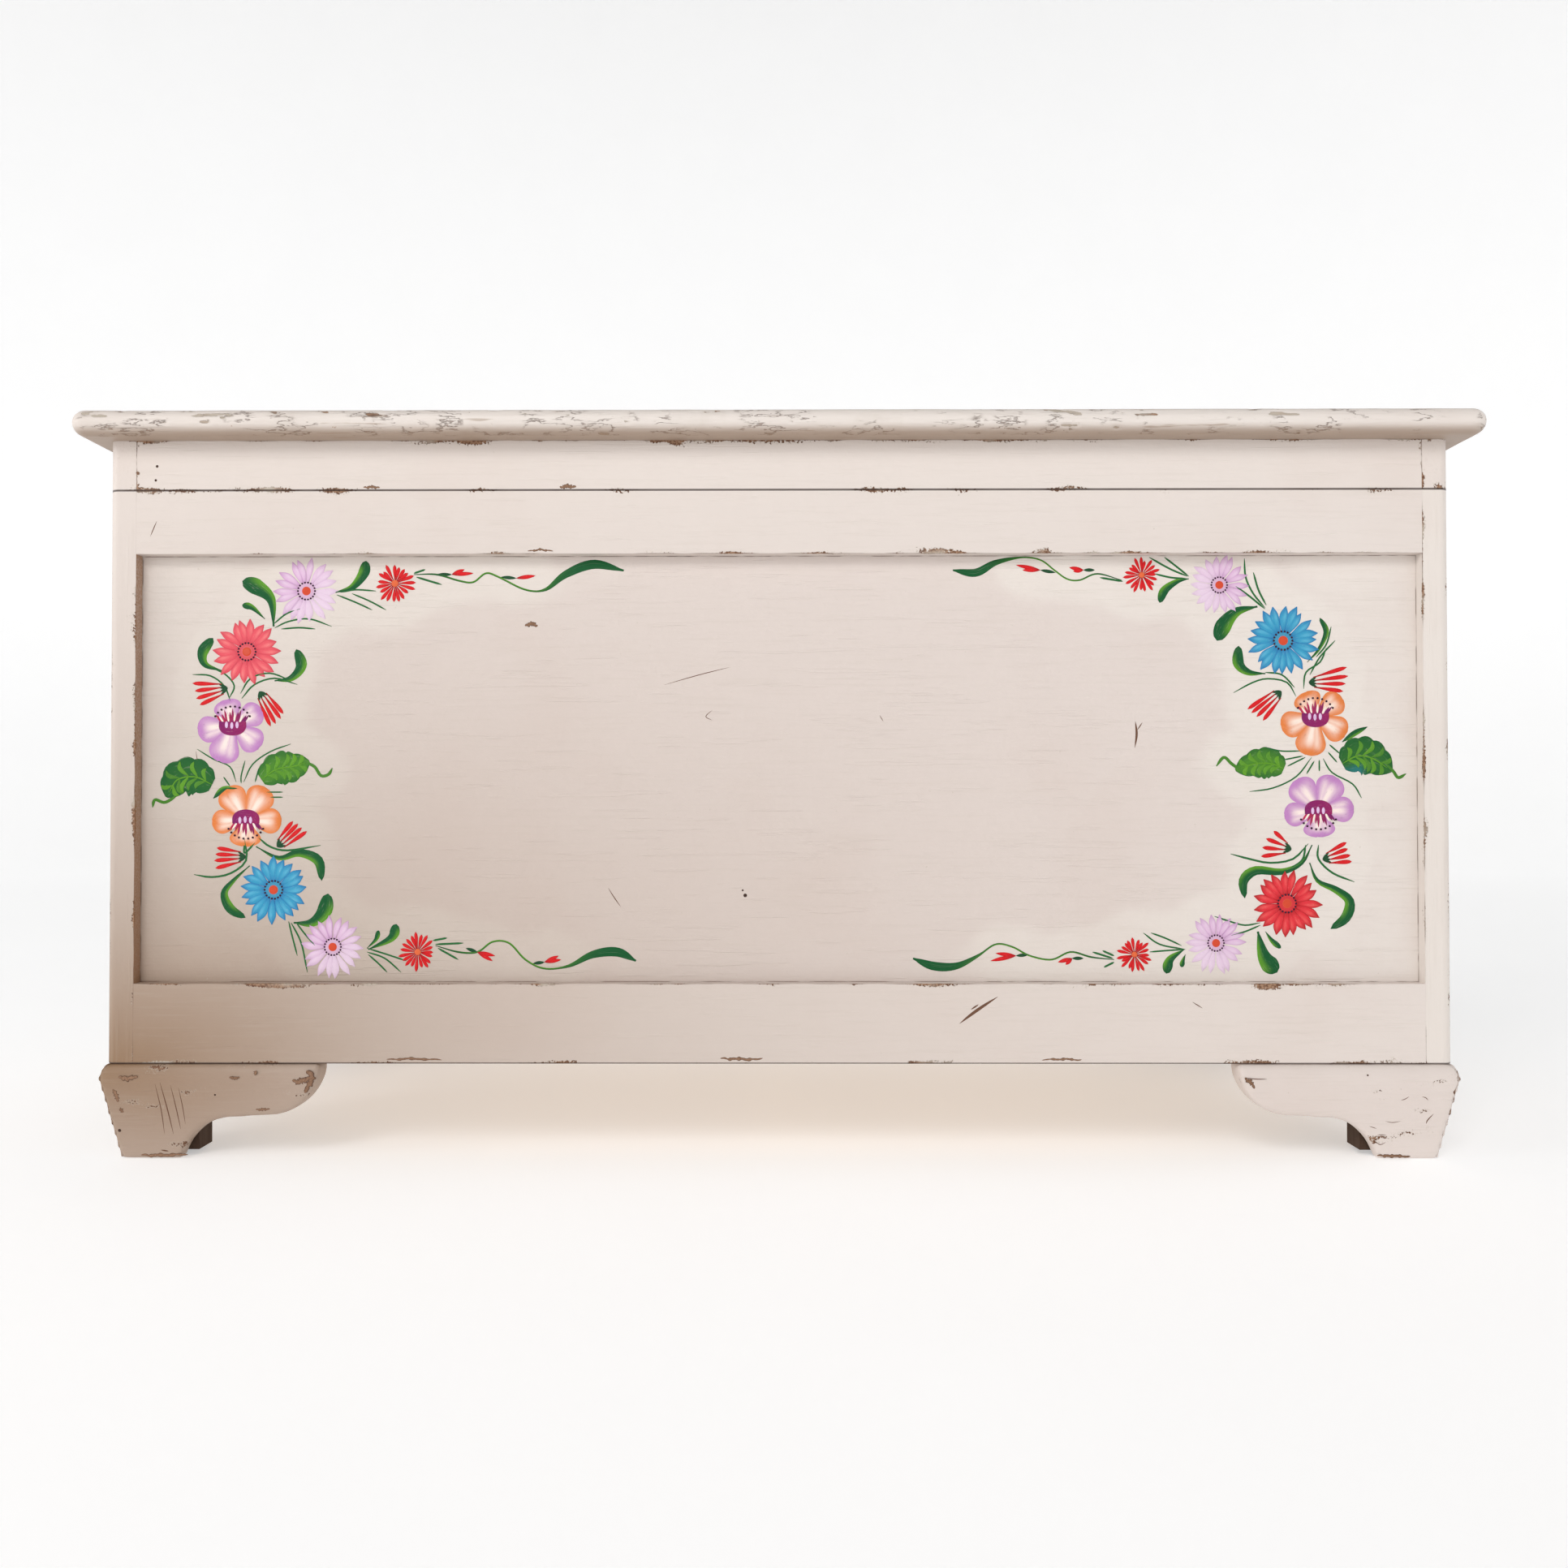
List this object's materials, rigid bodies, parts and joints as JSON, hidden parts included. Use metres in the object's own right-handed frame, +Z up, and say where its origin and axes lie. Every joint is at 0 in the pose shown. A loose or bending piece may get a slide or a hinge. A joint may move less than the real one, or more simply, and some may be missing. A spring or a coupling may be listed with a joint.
{
  "type": "wooden toy box",
  "caption": "Long painted wooden chest for toys: recessed front panel with hand-painted flower garlands, bracket feet and an overhanging lid hinged along the back.",
  "frame": {"origin": "on the floor under the middle of the chest, the bottom centre of its bounding box", "axes": "+X to the right along the chest's length as seen from the front, +Y from the front to the back, +Z up"},
  "size_m": [1.094, 0.514, 0.583],
  "materials": {
    "painted_wood": "worn satin paint",
    "bare_pine": "bare",
    "hinge_steel": "dull",
    "screw_steel": "dull"
  },
  "bodies": {
    "chest": {"left_front_stile": "painted_wood", "left_rear_stile": "painted_wood", "left_top_rail": "painted_wood", "left_bottom_rail": "painted_wood", "left_panel": "painted_wood", "right_front_stile": "painted_wood", "right_rear_stile": "painted_wood", "right_top_rail": "painted_wood", "right_bottom_rail": "painted_wood", "right_panel": "painted_wood", "front_top_rail": "painted_wood", "front_bottom_rail": "painted_wood", "front_panel": "painted_wood", "back_top_rail": "painted_wood", "back_bottom_rail": "painted_wood", "back_muntin": "painted_wood", "back_panel_left": "painted_wood", "back_panel_right": "painted_wood", "front_cleat": "bare_pine", "back_cleat": "bare_pine", "left_cleat": "bare_pine", "right_cleat": "bare_pine", "floor_bearer": "bare_pine", "floor_board_1": "bare_pine", "floor_board_2": "bare_pine", "floor_board_3": "bare_pine", "floor_board_4": "bare_pine", "foot_bracket_left_front": "painted_wood", "foot_bracket_right_front": "painted_wood", "foot_bracket_left_back": "painted_wood", "foot_bracket_right_back": "painted_wood", "foot_return_left_front": "painted_wood", "foot_return_right_front": "painted_wood", "foot_return_left_back": "painted_wood", "foot_return_right_back": "painted_wood", "glue_block_left_front": "bare_pine", "glue_block_right_front": "bare_pine", "glue_block_left_back": "bare_pine", "glue_block_right_back": "bare_pine", "hinge_leaf_body_left": "hinge_steel", "hinge_leaf_body_right": "hinge_steel", "hinge_pin_left": "hinge_steel", "hinge_pin_right": "hinge_steel", "hinge_screws_body": "screw_steel", "cleat_screws": "screw_steel", "foot_screws": "screw_steel", "floor_nails": "screw_steel"},
    "lid": {"lid_plank_front": "painted_wood", "lid_plank_middle": "painted_wood", "lid_plank_rear": "painted_wood", "lid_skirt_front": "painted_wood", "lid_skirt_left": "painted_wood", "lid_skirt_right": "painted_wood", "lid_batten_left": "bare_pine", "lid_batten_right": "bare_pine", "hinge_leaf_lid_left": "hinge_steel", "hinge_leaf_lid_right": "hinge_steel", "hinge_screws_lid": "screw_steel", "batten_screws": "screw_steel"}
  },
  "joints": [
    {"name": "lid_hinge", "type": "hinge", "parent": "chest", "child": "lid", "pos_m": [0, 0.239, 0.563], "axis": [-1, 0, 0], "range_deg": [0, 100]}
  ]
}
